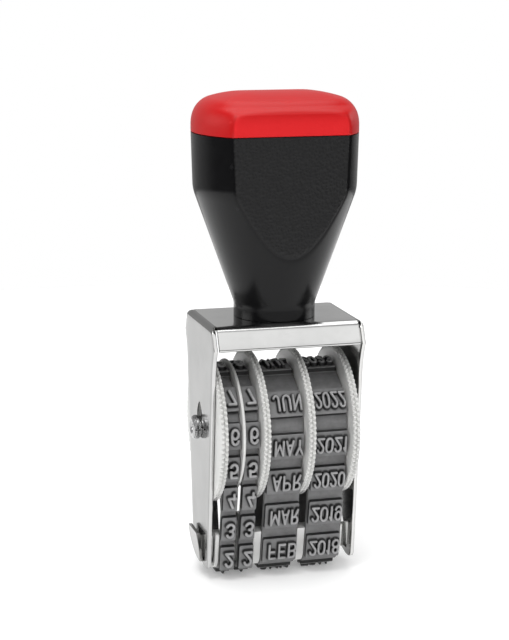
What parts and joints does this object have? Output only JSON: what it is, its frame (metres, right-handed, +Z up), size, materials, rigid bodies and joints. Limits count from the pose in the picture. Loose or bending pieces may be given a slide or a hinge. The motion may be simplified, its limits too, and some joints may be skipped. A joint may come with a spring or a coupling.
{
  "type": "rotary date stamp",
  "caption": "Hand date stamp: rubber date bands run over thumbwheels on an axle and round a nose, in a bent sheet frame under a tapered handle with a cap.",
  "frame": {"origin": "bottom centre of the object, on the faces of the date type that prints, under the middle of the axle", "axes": "+X along the wheel axle to the right seen from the front, -Y towards the reader, +Z up through the handle"},
  "size_m": [0.039, 0.0342, 0.1106],
  "materials": {
    "nickel_sheet": "bright nickel-plated sheet steel, lightly brushed, softly reflective",
    "black_plastic": "moulded black plastic, satin sides and a fine leather-grained front panel",
    "red_plastic": "smooth red plastic, softly glossy",
    "white_plastic": "moulded off-white plastic",
    "band_rubber": "mid-grey moulded rubber, matte",
    "axle_steel": "turned steel, bright",
    "zinc_steel": "zinc-plated steel",
    "brass_insert": "plain turned brass"
  },
  "bodies": {
    "root": {"frame": "nickel_sheet", "handle_shell": "black_plastic", "handle_cap": "red_plastic", "handle_insert": "brass_insert", "handle_screw": "zinc_steel", "handle_washer": "zinc_steel", "axle": "axle_steel", "axle_cap_left": "axle_steel", "axle_cap_right": "axle_steel", "friction_washer": "zinc_steel", "band_day_tens": "band_rubber", "band_day_units": "band_rubber", "band_month": "band_rubber", "band_year": "band_rubber", "nose_bridge": "white_plastic", "nose_carrier": "nickel_sheet"},
    "tens_wheel": {"wheel_day_tens": "white_plastic"},
    "units_wheel": {"wheel_day_units": "white_plastic"},
    "month_wheel": {"wheel_month": "white_plastic"},
    "year_wheel": {"wheel_year": "white_plastic"},
    "divider": {"divider_disc": "white_plastic"}
  },
  "joints": [
    {"name": "day_tens_spin", "type": "hinge", "parent": "root", "child": "tens_wheel", "pos_m": [0, 0, 0.0348], "axis": [1, 0, 0], "continuous": true, "deforming": ["band_day_tens"]},
    {"name": "day_units_spin", "type": "hinge", "parent": "root", "child": "units_wheel", "pos_m": [0, 0, 0.0348], "axis": [1, 0, 0], "continuous": true, "deforming": ["band_day_units"]},
    {"name": "month_spin", "type": "hinge", "parent": "root", "child": "month_wheel", "pos_m": [0, 0, 0.0348], "axis": [1, 0, 0], "continuous": true, "deforming": ["band_month"]},
    {"name": "year_spin", "type": "hinge", "parent": "root", "child": "year_wheel", "pos_m": [0, 0, 0.0348], "axis": [1, 0, 0], "continuous": true, "deforming": ["band_year"]},
    {"name": "divider_spin", "type": "hinge", "parent": "root", "child": "divider", "pos_m": [0, 0, 0.0348], "axis": [1, 0, 0], "continuous": true}
  ]
}
